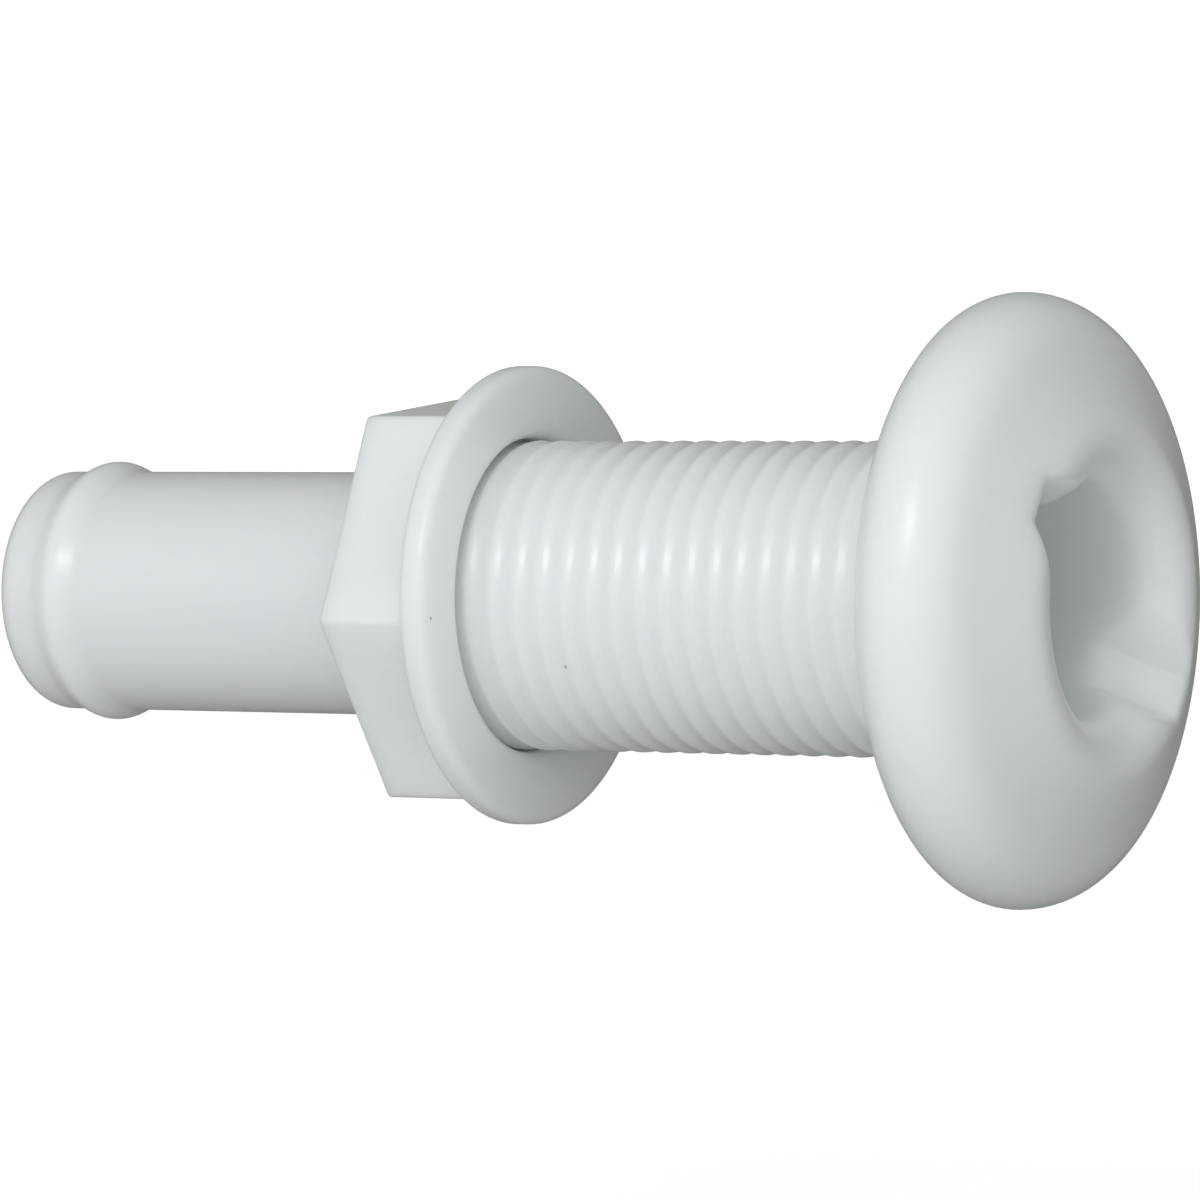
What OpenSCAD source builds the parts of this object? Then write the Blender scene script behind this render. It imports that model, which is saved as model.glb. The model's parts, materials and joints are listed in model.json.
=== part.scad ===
/* [Hose stub] */
// Outside diameter of the smooth hose stub, mm
stub_d = 28.6; // [27:0.1:30]
// Bore of the hose stub, mm
stub_bore_d = 22.6; // [18:0.2:24]
// Distance from the hull seat to the tip of the stub, mm
stub_reach = 124.2; // [115:0.1:135]
// Distance from the hull seat to the crest of the hose bead, mm
bead_reach = 115.6; // [110:0.1:119]
// How far the bead stands out of the stub, mm
bead_height = 1.2; // [0.6:0.1:1.8]
// Half of the bead's length along the stub, mm
bead_half_length = 2.6; // [1.5:0.1:4]
// Rounding of the stub's tip, mm
tip_round = 2.6; // [1:0.1:2.8]

/* [Threaded barrel] */
// Diameter over the thread crests, mm
thread_d = 36; // [34:0.1:38]
// Distance from one thread crest to the next, mm
thread_pitch = 3.175; // [2.5:0.005:4]
// Depth of the thread, mm
thread_depth = 1.1; // [0.6:0.1:1.4]
// Length of the flat on each thread crest, mm
crest_land = 0.95; // [0.5:0.05:1.3]
// Distance from the hull seat to the end of the thread, mm
thread_reach = 68.5; // [60:0.1:72]
// Bore of the barrel, mm
barrel_bore_d = 26.4; // [22:0.2:28]

/* [Mushroom head] */
// Outside diameter of the head, mm
head_d = 69.2; // [66:0.1:74]
// Outside diameter of the flat seat that bears on the hull, mm
seat_d = 45.6; // [42:0.1:50]
// Distance from the hull seat to the widest ring of the head, mm
rim_x = 6.5; // [5:0.1:8]
// Rounding of the rim towards the hull, mm
rim_back_round = 5.5; // [4:0.1:6]
// Rounding of the rim towards the mouth, mm
rim_front_round = 8; // [6:0.1:9]
// Height of the lip above the hull seat, mm
lip_x = 18.2; // [16:0.1:20]
// Diameter of the lip's highest ring, mm
lip_d = 37.2; // [35:0.1:40]
// Rounding of the lip, mm
lip_round = 5.4; // [4:0.1:5.5]

/* [Tool notches] */
// Width of each notch's floor, mm
notch_w = 5.7; // [4.5:0.1:8]
// How far each wall of a notch leans out for each millimetre up from the floor, mm
notch_flare = 0.65; // [0:0.05:1]
// Radius at which a notch runs out of the lip, mm
notch_out_r = 21.2; // [20:0.1:22]
// Angle of the notches about the fitting's axis, degrees
notch_angle = 33; // [0:1:90]

/* [Nut] */
// Width across the nut's flats, mm
nut_af = 44.5; // [42:0.1:48]
// Length of the nut's hexagon, mm
hex_length = 11.3; // [8:0.1:14]
// Outside diameter of the nut's flange, mm
flange_d = 53.4; // [50:0.1:58]
// Thickness of the nut's flange, mm
flange_t = 3.5; // [2.5:0.1:5]
// Rounding of the flange's edges, mm
flange_round = 0.95; // [0.4:0.05:1.2]
// Chamfer on the hexagon's free end, mm
hex_chamfer = 0.6; // [0.2:0.1:1.5]
// Diameter of the countersink in the flange's face, mm
countersink_d = 39.6; // [38:0.1:42]
// Radial clearance between the nut's bore and the thread crests, mm
nut_clearance = 0.1; // [0.05:0.01:0.2]
// Distance from the hull seat to the flange's clamping face, mm
nut_reach = 56.4; // [20:0.1:58]
// Turn of the hexagon about the fitting's axis, degrees
hex_angle = 54; // [0:1:60]

/* [Hidden] */
$fn = 128;
arc_steps = 12;        // chords in a rounded stretch of an outline
overrun = 1;           // how far a cutting shape passes the face it opens
bore_taper = 5;        // length of the cone that joins the two bores
notch_cut = 6;         // height that the notches' cutting shape stands above their floors
shoulder_chamfer = 1;  // chamfer where the barrel steps down to the stub
flank = thread_depth * tan(30);
stub_r = stub_d / 2;
thread_r = thread_d / 2;
root_r = thread_r - thread_depth;
rim_r = head_d / 2;
nut_bore_r = thread_r + nut_clearance;
groove_count = floor((thread_reach - shoulder_chamfer) / thread_pitch);

// Points [radius, height] along an arc about [radius, height] centre c
function arc(c, r, from, to, steps = arc_steps) =
    [for (i = [0 : steps]) let (a = from + (to - from) * i / steps)
        [c[0] + r * cos(a), c[1] + r * sin(a)]];

// Angle of the outward normal of the line that touches circle a and circle b on one side
function touch_angle(a, ra, b, rb, side) =
    let (d = b - a) atan2(d[1], d[0]) + side * acos((ra - rb) / norm(d));

// Centres, as [radius, height above the seat], of the head's rounded stretches
back_c = [rim_r - rim_back_round, rim_x];
front_c = [rim_r - rim_front_round, rim_x];
lip_c = [lip_d / 2, lip_x - lip_round];
notch_out_x = lip_c[1] + sqrt(pow(lip_round, 2) - pow(notch_out_r - lip_c[0], 2));
front_angle = touch_angle(front_c, rim_front_round, lip_c, lip_round, -1);
back_angle = touch_angle([seat_d / 2, 0], 0, back_c, rim_back_round, -1);

// Everything inside the outer surface, from the lip down to the stub's tip
module outer_outline() {
    bead_r = (pow(bead_half_length, 2) + pow(bead_height, 2)) / (2 * bead_height);
    bead_angle = asin(bead_half_length / bead_r);
    polygon(concat(
        [[0, lip_x]],
        arc(lip_c, lip_round, 90, front_angle),
        arc(front_c, rim_front_round, front_angle, 0),
        arc(back_c, rim_back_round, 0, back_angle),
        [
            [seat_d / 2, 0],
            [thread_r, 0],
            [thread_r, -thread_reach + shoulder_chamfer],
            [thread_r - shoulder_chamfer, -thread_reach],
            [stub_r, -thread_reach]
        ],
        arc([stub_r + bead_height - bead_r, -bead_reach], bead_r, bead_angle, -bead_angle),
        arc([stub_r - tip_round, -stub_reach + tip_round], tip_round, 0, -90),
        [[0, -stub_reach]]
    ));
}

// The waterway: flared mouth, barrel bore, taper and stub bore
module waterway_outline() {
    bore_r = barrel_bore_d / 2;
    stub_bore_r = stub_bore_d / 2;
    taper_start = -thread_reach + 2 * bore_taper;
    polygon(concat(
        [[0, lip_x + overrun], [lip_c[0], lip_x + overrun]],
        arc(lip_c, lip_round, 90, 180),
        [
            [bore_r, lip_c[1] - bore_taper],
            [bore_r, taper_start],
            [stub_bore_r, taper_start - bore_taper],
            [stub_bore_r, -stub_reach - overrun],
            [0, -stub_reach - overrun]
        ]
    ));
}

// One groove between two thread crests, with its middle at height 0
module groove_outline(inner_r, outer_r, mouth) {
    polygon([
        [inner_r, -mouth / 2 + flank],
        [outer_r, -mouth / 2],
        [outer_r + overrun, -mouth / 2],
        [outer_r + overrun, mouth / 2],
        [outer_r, mouth / 2],
        [inner_r, mouth / 2 - flank]
    ]);
}

// Shapes are drawn about the Z axis and laid along X, mouth towards +X.
// A shape drawn at angle -a about Z then points at -Y, turned by a towards +Z.
module lay_along_x() {
    rotate([0, 90, 0]) rotate([0, 0, -90]) children();
}

// The two flared grooves in the lip, their floors sloping into the throat at 45 degrees
module tool_notches() {
    length = (notch_out_r - barrel_bore_d / 2) / cos(45) + overrun;
    top_half = notch_w / 2 + notch_flare * notch_cut;
    for (side = [0, 180])
        rotate([0, 0, side - notch_angle])
            translate([notch_out_r, 0, notch_out_x])
                rotate([0, 45, 0]) rotate([0, 0, 90])
                    translate([0, 0, -length])
                        linear_extrude(length + 2 * overrun)
                            polygon([
                                [-notch_w / 2, 0],
                                [notch_w / 2, 0],
                                [top_half, notch_cut],
                                [-top_half, notch_cut]
                            ]);
}

// One moulding: mushroom head, threaded barrel and hose stub
module fitting_body() {
    color("ivory") lay_along_x() difference() {
        rotate_extrude() difference() {
            outer_outline();
            waterway_outline();
            for (i = [0 : groove_count - 1])
                translate([0, -(i + 0.75) * thread_pitch])
                    groove_outline(root_r, thread_r, thread_pitch - crest_land);
        }
        tool_notches();
    }
}

// One moulding: hexagon and round flange, threaded inside
module flanged_nut() {
    hex_r = nut_af / 2 / cos(30);
    hex_x = -nut_reach - flange_t;
    flange_r = flange_d / 2;
    sink_depth = countersink_d / 2 - nut_bore_r;
    color("snow") lay_along_x() difference() {
        union() {
            intersection() {
                translate([0, 0, hex_x - hex_length])
                    rotate([0, 0, -hex_angle]) cylinder(r = hex_r, h = hex_length + overrun, $fn = 6);
                translate([0, 0, hex_x - hex_length])
                    cylinder(r1 = hex_r - hex_chamfer, r2 = hex_r + hex_length + overrun - hex_chamfer,
                             h = hex_length + overrun);
            }
            rotate_extrude() polygon(concat(
                [[0, hex_x]],
                arc([flange_r - flange_round, hex_x + flange_round], flange_round, -90, 0),
                arc([flange_r - flange_round, -nut_reach - flange_round], flange_round, 0, 90),
                [[0, -nut_reach]]
            ));
        }
        translate([0, 0, hex_x - hex_length - overrun])
            cylinder(r = nut_bore_r, h = hex_length + flange_t + 2 * overrun);
        translate([0, 0, -nut_reach - sink_depth])
            cylinder(r1 = nut_bore_r, r2 = nut_bore_r + sink_depth + overrun, h = sink_depth + overrun);
    }
}

fitting_body();
flanged_nut();
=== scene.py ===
import json
import math

import bpy
import numpy as np
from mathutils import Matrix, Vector


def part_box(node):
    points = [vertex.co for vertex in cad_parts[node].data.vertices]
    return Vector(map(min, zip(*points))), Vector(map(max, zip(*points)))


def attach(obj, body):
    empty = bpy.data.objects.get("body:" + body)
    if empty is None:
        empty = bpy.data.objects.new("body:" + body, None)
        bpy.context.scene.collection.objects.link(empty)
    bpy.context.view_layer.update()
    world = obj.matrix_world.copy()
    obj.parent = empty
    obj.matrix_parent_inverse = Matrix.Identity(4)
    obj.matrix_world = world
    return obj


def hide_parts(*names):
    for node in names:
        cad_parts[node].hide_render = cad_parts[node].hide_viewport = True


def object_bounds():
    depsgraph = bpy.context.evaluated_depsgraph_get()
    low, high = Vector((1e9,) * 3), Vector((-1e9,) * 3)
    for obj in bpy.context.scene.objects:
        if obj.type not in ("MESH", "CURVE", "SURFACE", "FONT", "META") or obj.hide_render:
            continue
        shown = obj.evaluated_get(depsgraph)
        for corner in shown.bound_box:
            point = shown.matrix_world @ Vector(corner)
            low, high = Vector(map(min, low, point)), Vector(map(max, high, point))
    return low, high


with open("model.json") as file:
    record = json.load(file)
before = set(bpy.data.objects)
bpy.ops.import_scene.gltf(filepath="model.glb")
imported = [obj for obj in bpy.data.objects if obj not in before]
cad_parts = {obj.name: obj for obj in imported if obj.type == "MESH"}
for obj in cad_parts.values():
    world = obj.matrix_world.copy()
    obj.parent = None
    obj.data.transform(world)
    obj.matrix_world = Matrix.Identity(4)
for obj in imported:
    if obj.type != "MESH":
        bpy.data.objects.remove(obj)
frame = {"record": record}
cad_low, cad_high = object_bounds()

# The thru hull fitting's looks. X runs along the fitting, from the hose stub out through the mouth, Z is up, and the
# origin is in the plane of the head's seat. Outlines are lists of [x, r] points in metres, r out from the axis, and an
# angle about the axis is counted from +Y towards +Z, so the side that the camera sees is at 180 degrees.
MM = 0.001
mounts = {m["name"]: m for m in frame["record"]["mounts"]}
body_low, body_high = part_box("fitting_body")
nut_low, nut_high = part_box("flanged_nut")

# Sizes from the frame
rim_r = body_high.z
lip_x = body_high.x
tip_x = body_low.x
thread_r = mounts["barrel"]["dims"]["r_mm"] * MM
stub_r = mounts["hose_tip"]["dims"]["r_mm"] * MM
flange_r = nut_high.z
flange_x = nut_high.x
nut_end_x = nut_low.x

# Head
SEAT_R = 22.8 * MM
RIM_X = 6.5 * MM
RIM_BACK_ROUND = 5.5 * MM
RIM_FRONT_ROUND = 8 * MM
LIP_R = 18.6 * MM
LIP_ROUND = 5.4 * MM

# Tool notches
NOTCH_HALF_WIDTH = 2.85 * MM
NOTCH_FLARE = 0.65          # how far a wall leans out for each step up from the floor
NOTCH_ROUND = 0.6 * MM     # where a wall meets the floor
NOTCH_EDGE_ROUND = 1.6 * MM # where the notch meets the lip
NOTCH_OUT_R = 21.2 * MM     # where a notch's floor runs out of the lip
NOTCH_REACH = 9 * MM        # no skin further than this from a notch's middle is cut
NOTCH_ANGLE = 33            # degrees from the camera's side up towards +Z
WITNESS_R = 20.95 * MM      # fine ring that the mould's join leaves around the lip
WITNESS_WIDTH = 0.22 * MM
WITNESS_HEIGHT = 0.05 * MM

# Threaded barrel
THREAD_PITCH = 3.175 * MM
THREAD_DEPTH = 0.42 * MM    # shallower than the CAD's, for the faint ridges that show
THREAD_END = -68.5 * MM
THREAD_PHASE = 0.9          # where the crest lies, in turns
SHOULDER = 1 * MM

# Hose stub and waterway
BEAD_X = -115.6 * MM
BEAD_HEIGHT = 1.2 * MM
BEAD_HALF_LENGTH = 2.6 * MM
BEAD_BLEND = 1.2 * MM
TIP_ROUND = 2.6 * MM
TIP_INNER_ROUND = 0.2 * MM
STUB_BORE_R = 11.3 * MM
BARREL_BORE_R = 13.2 * MM
TAPER_START = -58.5 * MM
TAPER_LENGTH = 5 * MM

# Nut
NUT_AF = 44.5 * MM
FLANGE_T = 3.5 * MM
FLANGE_ROUND = 1.25 * MM    # on the flange's clamping face
FLANGE_HEX_ROUND = 0.95 * MM # on the hexagon's side
HEX_ANGLE = 54              # degrees of the first corner from the camera's side up towards +Z
HEX_CORNER_ROUND = 0.8 * MM
HEX_END_ROUND = 0.5 * MM
HEX_ROOT_ROUND = 0.7 * MM
SINK_ROUND = 2.0 * MM       # quarter-round where the bore opens in the clamping face
NUT_THREAD_R = 18.12 * MM
NUT_THREAD_DEPTH = 0.12 * MM


def arc(centre, radius, start, end, steps):
    """Points along an arc. Angles are in degrees, 0 along +X and 90 away from the axis."""
    a = np.radians(np.linspace(start, end, steps + 1))
    return np.column_stack([centre[0] + radius * np.cos(a), centre[1] + radius * np.sin(a)])


def line(start, end, steps):
    """Points from start up to, but not including, end."""
    t = np.arange(steps)[:, None] / steps
    return np.asarray(start) * (1 - t) + np.asarray(end) * t


def touch_angle(a, radius_a, b, radius_b, side):
    """Angle of the outward normal of the line that touches two circles on one side."""
    d = np.subtract(b, a)
    return math.degrees(math.atan2(d[1], d[0]) + side * math.acos((radius_a - radius_b) / np.hypot(*d)))


def smoothstep(low, high, value):
    t = np.clip((value - low) / (high - low), 0, 1)
    return t * t * (3 - 2 * t)


def soft_max(a, b, blend):
    """The larger of two values, with the corner where they meet rounded over a stretch of that size."""
    gap = np.clip(1 - np.abs(a - b) / blend, 0, 1)
    return np.maximum(a, b) + gap ** 2 * blend / 4


def grid_mesh(name, points):
    """A closed skin from points[row, column], joined up both ways round. Columns turn about the axis, and rows
    follow the outline with the solid on their right, as X grows to the right and r upwards."""
    rows, columns = points.shape[:2]
    here = np.arange(rows * columns).reshape(rows, columns)
    down = np.roll(here, -1, 0)
    faces = np.stack([here, down, np.roll(down, -1, 1), np.roll(here, -1, 1)], -1).reshape(-1, 4)
    mesh = bpy.data.meshes.new(name)
    mesh.from_pydata(points.reshape(-1, 3).tolist(), [], faces.tolist())
    mesh.shade_smooth()
    mesh.validate()
    piece = bpy.data.objects.new(name, mesh)
    bpy.context.scene.collection.objects.link(piece)
    return piece


def around(x, r, angle):
    """Points at distance x along the axis and r from it, at an angle in radians."""
    return np.stack([x + 0 * angle, r * np.cos(angle), r * np.sin(angle)], -1)


def helix(x, angle, phase, fade):
    """0 in the root of a right-handed thread, 1 on its rounded crest."""
    turn = x / THREAD_PITCH - angle / (2 * math.pi) - phase
    crest = np.abs(np.mod(turn + 0.5, 1) - 0.5) * 2
    return (1 - smoothstep(0, 0.85, crest)) * fade


# ---------------------------------------------------------------- fitting body

def body_outline():
    """The fitting's closed section, from the throat over the head, down the outside and back up the bore."""
    lip = (lip_x - LIP_ROUND, LIP_R)
    front = (RIM_X, rim_r - RIM_FRONT_ROUND)
    back = (RIM_X, rim_r - RIM_BACK_ROUND)
    front_angle = touch_angle(front, RIM_FRONT_ROUND, lip, LIP_ROUND, 1)
    back_angle = 180 - touch_angle((-back[0], back[1]), RIM_BACK_ROUND, (0, SEAT_R), 0, 1)
    lip_arc = arc(lip, LIP_ROUND, -90, front_angle, 52)
    front_arc = arc(front, RIM_FRONT_ROUND, front_angle, 90, 20)
    back_arc = arc(back, RIM_BACK_ROUND, 90, back_angle, 20)[1:]
    crest_rows = round(-THREAD_END / THREAD_PITCH * 9)
    bead_x = BEAD_X + np.linspace(1, -1, 33) * (BEAD_HALF_LENGTH + BEAD_BLEND)
    bore = (lip[0], BARREL_BORE_R)
    return np.concatenate([
        line((0, BARREL_BORE_R), bore, 22),
        lip_arc,
        line(lip_arc[-1], front_arc[0], 8)[1:],
        front_arc,
        back_arc,
        line(back_arc[-1], (0, SEAT_R), 6)[1:],
        line((0, SEAT_R), (0, thread_r), 3),
        line((0, thread_r), (THREAD_END + SHOULDER, thread_r), crest_rows),
        line((THREAD_END + SHOULDER, thread_r), (THREAD_END, thread_r - SHOULDER), 3),
        line((THREAD_END, thread_r - SHOULDER), (THREAD_END, stub_r + SHOULDER), 2),
        arc((THREAD_END - SHOULDER, stub_r + SHOULDER), SHOULDER, 0, -90, 5),
        line((THREAD_END - 1.5 * SHOULDER, stub_r), (bead_x[0], stub_r), 30),
        np.column_stack([bead_x, stub_r + 0 * bead_x]),
        line((bead_x[-1], stub_r), (tip_x + TIP_ROUND, stub_r), 3)[1:],
        arc((tip_x + TIP_ROUND, stub_r - TIP_ROUND), TIP_ROUND, 90, 180, 14),
        arc((tip_x + TIP_INNER_ROUND, STUB_BORE_R + TIP_INNER_ROUND), TIP_INNER_ROUND, 180, 270, 3),
        line((tip_x + 2 * TIP_INNER_ROUND, STUB_BORE_R), (TAPER_START - TAPER_LENGTH, STUB_BORE_R), 24),
        line((TAPER_START - TAPER_LENGTH, STUB_BORE_R), (TAPER_START, BARREL_BORE_R), 5),
        line((TAPER_START, BARREL_BORE_R), (0, BARREL_BORE_R), 16),
    ])


def notch_columns():
    """Distances across a notch, from its middle out, at which the head's columns run, close together at its wall."""
    floor = np.linspace(0, NOTCH_HALF_WIDTH - 0.45 * MM, 4)[:-1]
    wall = np.linspace(NOTCH_HALF_WIDTH - 0.45 * MM, 6.5 * MM, 20)
    return np.concatenate([floor, wall])


def body_columns():
    """Angles of the columns about the axis, counted from the first notch."""
    near = np.arcsin(notch_columns() / LIP_R)
    far = np.linspace(near[-1], math.pi / 2, 31)[1:]
    quarter = np.concatenate([near, far])
    half = np.concatenate([-quarter[:0:-1], quarter])[1:]
    return np.concatenate([half, half + math.pi])


def bead_swell(x):
    """How far the hose bead stands out at x: a round crest with softly blended feet."""
    t = np.clip(1 - np.abs(x - BEAD_X) / (BEAD_HALF_LENGTH + BEAD_BLEND), 0, 1)
    return BEAD_HEIGHT * smoothstep(0, 1, t) ** 1.1


def body_points():
    """The body's skin, [row, column], with its thread, bead and notches."""
    outline = body_outline()
    x = outline[:, :1]
    r = outline[:, 1:]
    column = body_columns()[None, :]
    side = np.round(column / math.pi) * math.pi
    offset = column - side

    # Beside a notch the columns keep their distance from its middle, so that they follow its straight walls
    across = LIP_R * np.sin(offset)
    straight = np.arcsin(np.clip(across / r, -1, 1))
    by_place = (1 - smoothstep(24 * MM, 32 * MM, r)) * smoothstep(0, 5 * MM, x)
    by_side = 1 - smoothstep(0.36, 0.85, np.abs(across) / r)
    offset = offset + (straight - offset) * by_place * by_side
    angle = side + offset + math.radians(180 - NOTCH_ANGLE)

    # Thread
    on_thread = (x < 0) & (x > THREAD_END) & (r > stub_r + SHOULDER)
    fade = smoothstep(0, 1, -x / THREAD_PITCH) * on_thread
    depth = THREAD_DEPTH * (1 - helix(x, angle, THREAD_PHASE, 1)) * fade
    depth = np.minimum(depth, np.maximum(r - (thread_r - THREAD_DEPTH), 0))
    on_stub = (x < THREAD_END - SHOULDER) & (r > stub_r - 0.01 * MM)
    r = r - depth + bead_swell(x) * on_stub

    # Mould's witness ring on the lip's outer slope
    on_lip = (x > lip_x - LIP_ROUND) & (r > LIP_R)
    r = r + WITNESS_HEIGHT * np.exp(-((r - WITNESS_R) / WITNESS_WIDTH * 2) ** 2) * on_lip

    # Notches: what stands above the sloping floor, or the flared wall beside it, goes down to it, square to the floor
    out = r * np.cos(offset)
    sideways = r * np.sin(offset)
    out_x = lip_x - LIP_ROUND + math.sqrt(LIP_ROUND ** 2 - (NOTCH_OUT_R - LIP_R) ** 2)
    above = (x - out + NOTCH_OUT_R - out_x) / math.sqrt(2)
    wall = soft_max((np.abs(sideways) - NOTCH_HALF_WIDTH) / NOTCH_FLARE, 0, NOTCH_ROUND)
    drop = soft_max(above - wall, 0, NOTCH_EDGE_ROUND) / math.sqrt(2)
    drop = drop * (x > 0) * (np.abs(sideways) < NOTCH_REACH)
    out = out + drop
    x = x - drop
    turned = np.arctan2(sideways, out) + side + math.radians(180 - NOTCH_ANGLE)
    return around(x, np.hypot(out, sideways), turned)


# ------------------------------------------------------------------ flanged nut

def hexagon(angle):
    """Radius of the nut's hexagon with rounded corners, at angles in radians from the first corner."""
    half = NUT_AF / 2
    centre = (half - HEX_CORNER_ROUND) / math.cos(math.pi / 6)
    off = np.abs(np.mod(angle + math.pi / 6, math.pi / 3) - math.pi / 6)
    touch = math.atan2(HEX_CORNER_ROUND / 2, centre + HEX_CORNER_ROUND * math.cos(math.pi / 6))
    rounded = centre * np.cos(off) + np.sqrt(np.maximum(HEX_CORNER_ROUND ** 2 - (centre * np.sin(off)) ** 2, 0))
    return np.where(off < touch, rounded, half / np.cos(math.pi / 6 - off))


def nut_columns():
    """Angles of the nut's columns from its first corner, close together at each corner."""
    corner = np.radians([0, 0.35, 0.7, 1.05, 1.6, 2.6])
    flat = np.radians(np.arange(4.5, 30.1, 2.125))
    side = np.concatenate([corner, flat])
    sixth = np.concatenate([side, math.pi / 3 - side[-2:0:-1]])
    return np.concatenate([sixth + i * math.pi / 3 for i in range(6)])


def nut_points():
    """The nut's skin, [row, column]. Each row is x, a radius, and how much of the hexagon's radius to add to it.
    The rows are listed from the free end outwards, then turned round, as grid_mesh asks."""
    hex_x = flange_x - FLANGE_T
    hex_rim = flange_r - FLANGE_HEX_ROUND
    bore_r = NUT_THREAD_R + NUT_THREAD_DEPTH
    rows = []

    def add(points, share):
        rows.extend([p[0], p[1], share] for p in points)

    add(line((nut_end_x, bore_r + 0.3 * MM), (nut_end_x, bore_r + 0.31 * MM), 1), 0)
    for t in np.linspace(0.2, 0.9, 5):
        rows.append([nut_end_x, (1 - t) * bore_r - t * HEX_END_ROUND, t])
    add(arc((nut_end_x + HEX_END_ROUND, -HEX_END_ROUND), HEX_END_ROUND, 180, 90, 6), 1)
    add(line((nut_end_x + 2 * HEX_END_ROUND, 0), (hex_x - HEX_ROOT_ROUND, 0), 10), 1)
    add(arc((hex_x - HEX_ROOT_ROUND, HEX_ROOT_ROUND), HEX_ROOT_ROUND, -90, 0, 6), 1)
    for t in np.linspace(0.15, 0.85, 4):
        rows.append([hex_x, t * hex_rim + (1 - t) * HEX_ROOT_ROUND, 1 - t])
    rim = flange_r - FLANGE_ROUND
    add(arc((hex_x + FLANGE_HEX_ROUND, hex_rim), FLANGE_HEX_ROUND, 180, 90, 7), 0)
    add(arc((flange_x - FLANGE_ROUND, rim), FLANGE_ROUND, 90, 0, 9), 0)
    mouth = bore_r + SINK_ROUND
    add(line((flange_x, rim), (flange_x, mouth), 4)[1:], 0)
    floor_x = flange_x - SINK_ROUND
    add(arc((floor_x, mouth), SINK_ROUND, 0, -90, 12)[:-1], 0)
    bore_rows = round((floor_x - nut_end_x) / THREAD_PITCH * 10)
    add(line((floor_x, bore_r), (nut_end_x + 0.3 * MM, bore_r), bore_rows), 0)

    rows = np.array(rows)
    angle = nut_columns()[None, :]
    about = angle + math.radians(180 - HEX_ANGLE)
    x = rows[:, :1]
    r = rows[:, 1:2] + rows[:, 2:] * hexagon(angle)
    r = np.where(rows[:, 2:] > 0, np.minimum(r, hex_rim), r)  # the root's fillet stops at the flange's rounded edge
    inside = (r < bore_r + 0.001 * MM) & (x < floor_x) & (x > nut_end_x)
    fade = smoothstep(0, 1, (floor_x - x) / THREAD_PITCH) * smoothstep(0, 1, (x - nut_end_x) / THREAD_PITCH)
    r = r - NUT_THREAD_DEPTH * helix(x, about, THREAD_PHASE + 0.5, fade) * inside
    return around(x, r, about)[::-1]


# ------------------------------------------------------------------- materials

def moulded_plastic(name, colour, shade, roughness, depth, speck_places):
    """Natural white moulded plastic: light carries a little way in, with faint clouding, fine dimples and specks."""
    material = bpy.data.materials.new(name)
    material.use_nodes = True
    nodes = material.node_tree.nodes
    links = material.node_tree.links
    shader = nodes["Principled BSDF"]
    shader.inputs["Subsurface Weight"].default_value = 1
    shader.inputs["Subsurface Radius"].default_value = (1.0, 1.1, 1.0)
    shader.inputs["Subsurface Scale"].default_value = depth
    shader.inputs["IOR"].default_value = 1.49

    place = nodes.new("ShaderNodeTexCoord")

    def noise(scale, detail):
        node = nodes.new("ShaderNodeTexNoise")
        node.inputs["Scale"].default_value = scale
        node.inputs["Detail"].default_value = detail
        links.new(place.outputs["Object"], node.inputs["Vector"])
        return node.outputs["Fac"]

    def ranged(value, low, high, to_low, to_high):
        node = nodes.new("ShaderNodeMapRange")
        for socket, number in zip(("From Min", "From Max", "To Min", "To Max"), (low, high, to_low, to_high)):
            node.inputs[socket].default_value = number
        links.new(value, node.inputs["Value"])
        return node.outputs["Result"]

    def mixed(factor, first, second):
        node = nodes.new("ShaderNodeMix")
        node.data_type = "RGBA"
        links.new(factor, node.inputs["Factor"])
        for socket, value in ((node.inputs["A"], first), (node.inputs["B"], second)):
            if isinstance(value, tuple):
                socket.default_value = (*value, 1)
            else:
                links.new(value, socket)
        return node.outputs["Result"]

    clouding = mixed(ranged(noise(45, 3), 0.3, 0.7, 0, 1), colour, shade)
    for speck in speck_places:
        distance = nodes.new("ShaderNodeVectorMath")
        distance.operation = "DISTANCE"
        distance.inputs[1].default_value = speck[0]
        links.new(place.outputs["Object"], distance.inputs[0])
        spot = ranged(distance.outputs["Value"], speck[1] * 0.4, speck[1], 0.75, 0)
        clouding = mixed(spot, clouding, (0.18, 0.17, 0.13))
    links.new(clouding, shader.inputs["Base Color"])
    links.new(ranged(noise(260, 4), 0.3, 0.7, roughness - 0.015, roughness + 0.03), shader.inputs["Roughness"])

    bump = nodes.new("ShaderNodeBump")
    bump.inputs["Strength"].default_value = 0.06
    bump.inputs["Distance"].default_value = 0.05 * MM
    links.new(noise(900, 2), bump.inputs["Height"])
    links.new(bump.outputs["Normal"], shader.inputs["Normal"])
    return material


def on_surface(x, r, angle):
    """A place on the fitting, for a speck: angle in degrees from the camera's side up towards +Z."""
    a = math.radians(180 - angle)
    return (x, r * math.cos(a), r * math.sin(a))


# ------------------------------------------------------------------------ stage

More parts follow.
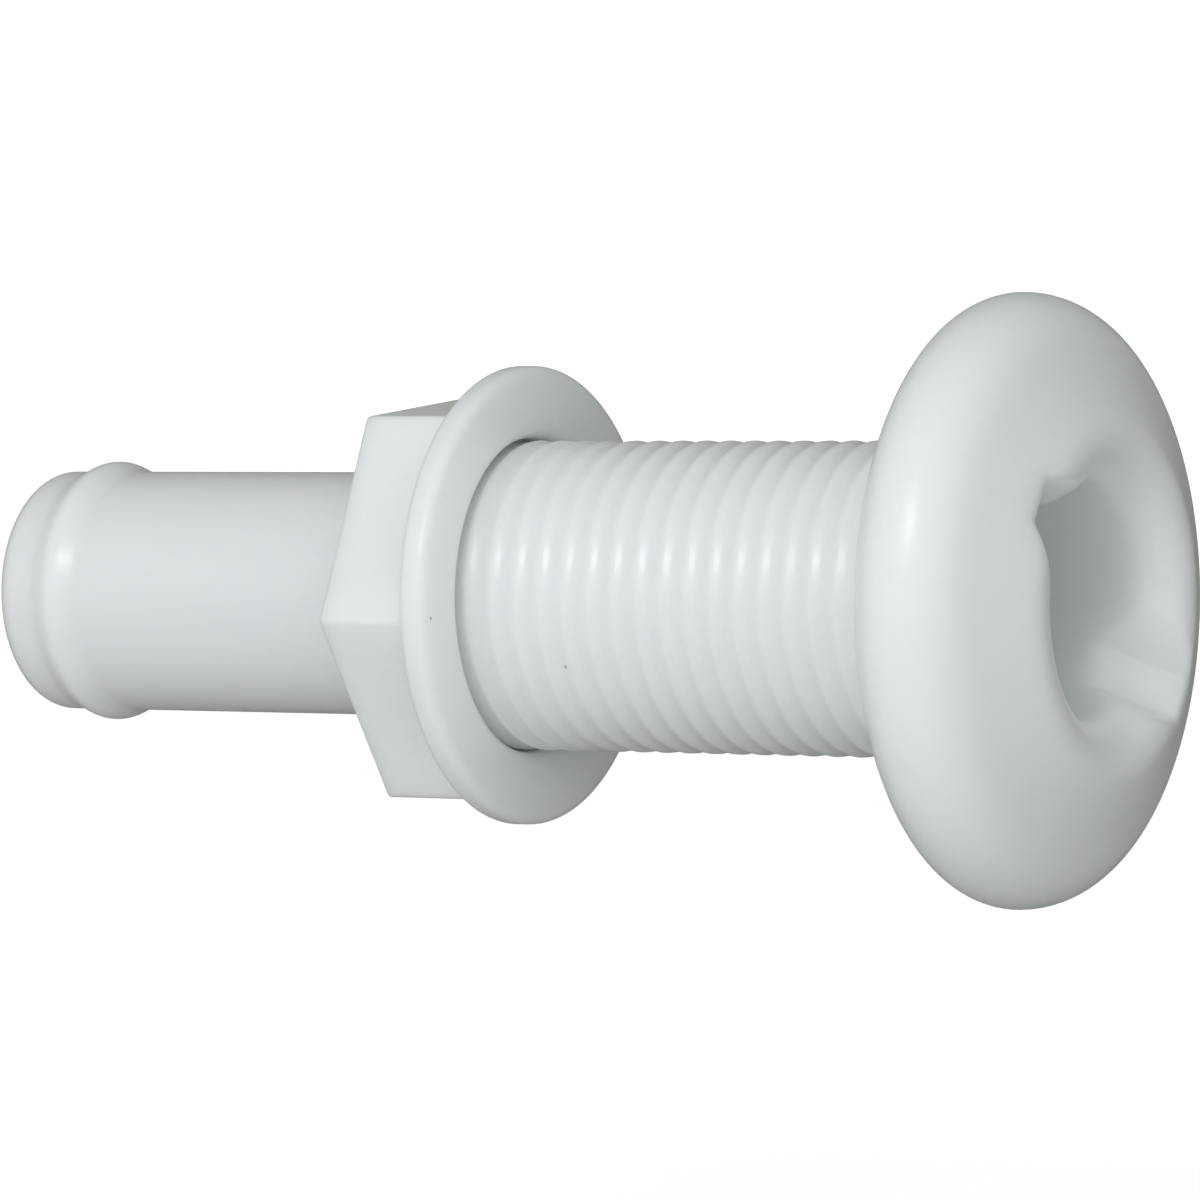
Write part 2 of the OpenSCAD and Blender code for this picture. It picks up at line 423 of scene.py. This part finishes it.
def backdrop():
    """A plain pale floor that curves up into a wall behind. It is only seen, and casts no light on the fitting."""
    floor_z = cad_low.z - 45 * MM
    turn = 0.6
    half_width = 4
    section = [(-3, floor_z)]
    for step in range(17):
        a = math.radians(90 * step / 16)
        section.append((1.6 + turn * math.sin(a), floor_z + turn * (1 - math.cos(a))))
    section.append((1.6 + turn, 3))
    verts = [(side * half_width, y, z) for y, z in section for side in (-1, 1)]
    faces = [(i, i + 1, i + 3, i + 2) for i in range(0, len(verts) - 2, 2)]
    mesh = bpy.data.meshes.new("backdrop")
    mesh.from_pydata(verts, [], faces)
    mesh.shade_smooth()
    piece = bpy.data.objects.new("backdrop", mesh)
    piece.visible_diffuse = False
    piece.visible_glossy = False
    bpy.context.scene.collection.objects.link(piece)
    material = bpy.data.materials.new("pale_paper")
    material.use_nodes = True
    shader = material.node_tree.nodes["Principled BSDF"]
    shader.inputs["Base Color"].default_value = (0.9, 0.9, 0.9, 1)
    shader.inputs["Roughness"].default_value = 0.9
    shader.inputs["Emission Color"].default_value = (1, 1, 1, 1)
    shader.inputs["Emission Strength"].default_value = 0.6
    mesh.materials.append(material)


def area_light(name, azimuth, elevation, distance, size, power, colour):
    """A round soft light that faces the fitting's middle. Returns its object."""
    middle = (cad_low + cad_high) / 2
    towards = direction(azimuth, elevation)
    light = bpy.data.lights.new(name, "AREA")
    light.shape = "DISK"
    light.size = size
    light.energy = power
    light.color = colour
    lamp = bpy.data.objects.new(name, light)
    lamp.location = middle + towards * distance
    lamp.rotation_mode = "QUATERNION"
    lamp.rotation_quaternion = (-towards).to_track_quat("-Z", "Y")
    bpy.context.scene.collection.objects.link(lamp)
    return lamp


def direction(azimuth, elevation):
    """Unit vector towards a place seen at that azimuth and elevation, as the camera's are counted."""
    a = math.radians(azimuth)
    e = math.radians(elevation)
    return Vector((math.sin(a) * math.cos(e), -math.cos(a) * math.cos(e), math.sin(e)))


def camera():
    """The camera, to the right of the fitting's near side and a little above its axis."""
    target = Vector((-48.7, 0, -0.47)) * MM
    back = direction(30.2, 1.18)
    data = bpy.data.cameras.new("camera")
    data.sensor_width = 36
    data.lens = 220.2
    data.clip_end = 20
    view = bpy.data.objects.new("camera", data)
    view.location = target + back * 850 * MM
    view.rotation_mode = "QUATERNION"
    view.rotation_quaternion = (-back).to_track_quat("-Z", "Y")
    bpy.context.scene.collection.objects.link(view)
    bpy.context.scene.camera = view


def surroundings():
    """A room that is plain white to look at, and lights the fitting softly, mostly from the camera's side."""
    world = bpy.data.worlds.new("world")
    world.use_nodes = True
    nodes = world.node_tree.nodes
    links = world.node_tree.links
    place = nodes.new("ShaderNodeTexCoord")
    facing = nodes.new("ShaderNodeVectorMath")
    facing.operation = "DOT_PRODUCT"
    facing.inputs[1].default_value = direction(16, 8)
    links.new(place.outputs["Generated"], facing.inputs[0])
    room = nodes.new("ShaderNodeValToRGB")
    room.color_ramp.elements[0].position = 0.22
    room.color_ramp.elements[0].color = (0.05, 0.048, 0.028, 1)
    room.color_ramp.elements[1].position = 0.9
    room.color_ramp.elements[1].color = (0.88, 0.925, 0.935, 1)
    spread = nodes.new("ShaderNodeMapRange")
    spread.inputs["From Min"].default_value = -1
    links.new(facing.outputs["Value"], spread.inputs["Value"])
    links.new(spread.outputs["Result"], room.inputs["Fac"])
    seen = nodes.new("ShaderNodeLightPath")
    colour = nodes.new("ShaderNodeMix")
    colour.data_type = "RGBA"
    colour.inputs["B"].default_value = (1, 1, 1, 1)
    links.new(seen.outputs["Is Camera Ray"], colour.inputs["Factor"])
    links.new(room.outputs["Color"], colour.inputs["A"])
    links.new(colour.outputs["Result"], nodes["Background"].inputs["Color"])
    bpy.context.scene.world = world


def lighting():
    area_light("key", 13, 27, 1.2, 0.3, 1.5, (0.95, 1, 0.99))
    area_light("fill", -35, 5, 1.6, 1.2, 0.3, (0.97, 1, 0.98))
    glint = area_light("glint", 13, 27, 1.2, 0.1, 1.1, (1, 1, 1))  # only adds the small highlights
    glint.visible_diffuse = False
    surroundings()
    bpy.context.scene.view_settings.view_transform = "Standard"


# ------------------------------------------------------------------------ build

camera()

fitting = grid_mesh("moulded_body", body_points())
fitting.data.materials.append(moulded_plastic(
    "white_body", (0.925, 0.96, 0.95), (0.91, 0.95, 0.935), 0.3, 5.0 * MM,
    [(on_surface(-44 * MM, thread_r - THREAD_DEPTH / 2, -26), 0.33 * MM)],
))
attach(fitting, "fitting")
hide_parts("fitting_body")

nut = grid_mesh("moulded_nut", nut_points())
nut.data.materials.append(moulded_plastic(
    "white_nut", (0.925, 0.955, 0.945), (0.91, 0.945, 0.93), 0.34, 4.0 * MM,
    [(on_surface(flange_x, 25 * MM, -5), 0.25 * MM)],
))
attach(nut, "nut")
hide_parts("flanged_nut")

backdrop()
lighting()
